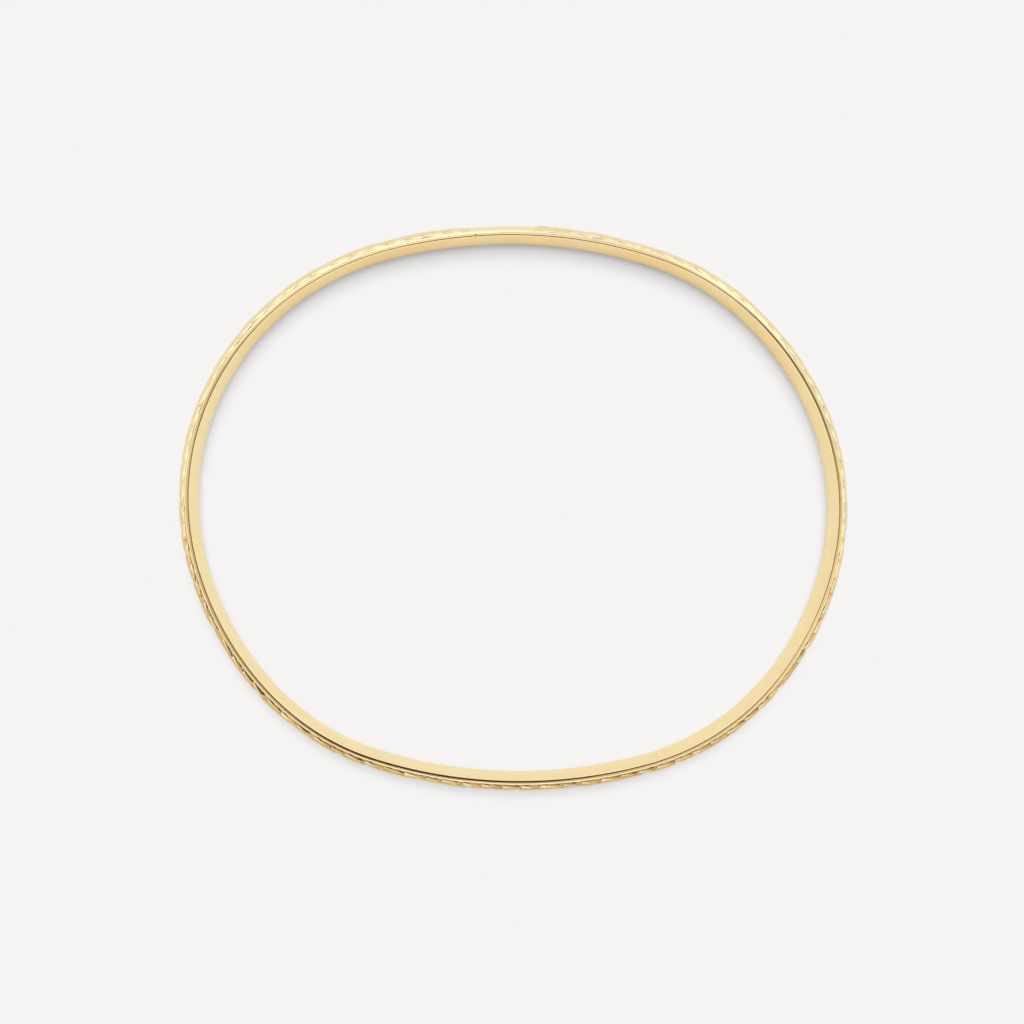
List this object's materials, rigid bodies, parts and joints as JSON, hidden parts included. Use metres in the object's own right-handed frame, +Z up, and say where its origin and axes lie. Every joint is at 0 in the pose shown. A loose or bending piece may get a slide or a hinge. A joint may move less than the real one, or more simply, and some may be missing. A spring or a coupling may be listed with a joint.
{
  "type": "bangle bracelet",
  "caption": "Closed oval slip-on bangle of gold: a thin polished liner with polished edge wires round a domed, engraved outer band.",
  "frame": {"origin": "centre of the opening, on the surface that the bangle lies on", "axes": "+X along the long axis of the oval, +Y along its short axis towards the plain joint plate, +Z up along the bangle's axis"},
  "size_m": [0.0686, 0.058, 0.004],
  "materials": {
    "polished_gold": "high polish yellow gold, 18 ct",
    "engraved_gold": "bright-cut engraved yellow gold, 18 ct, polished"
  },
  "bodies": {
    "root": {"inner_liner": "polished_gold", "upper_edge_wire": "polished_gold", "lower_edge_wire": "polished_gold", "engraved_band": "engraved_gold", "joint_plate": "polished_gold"}
  },
  "joints": []
}
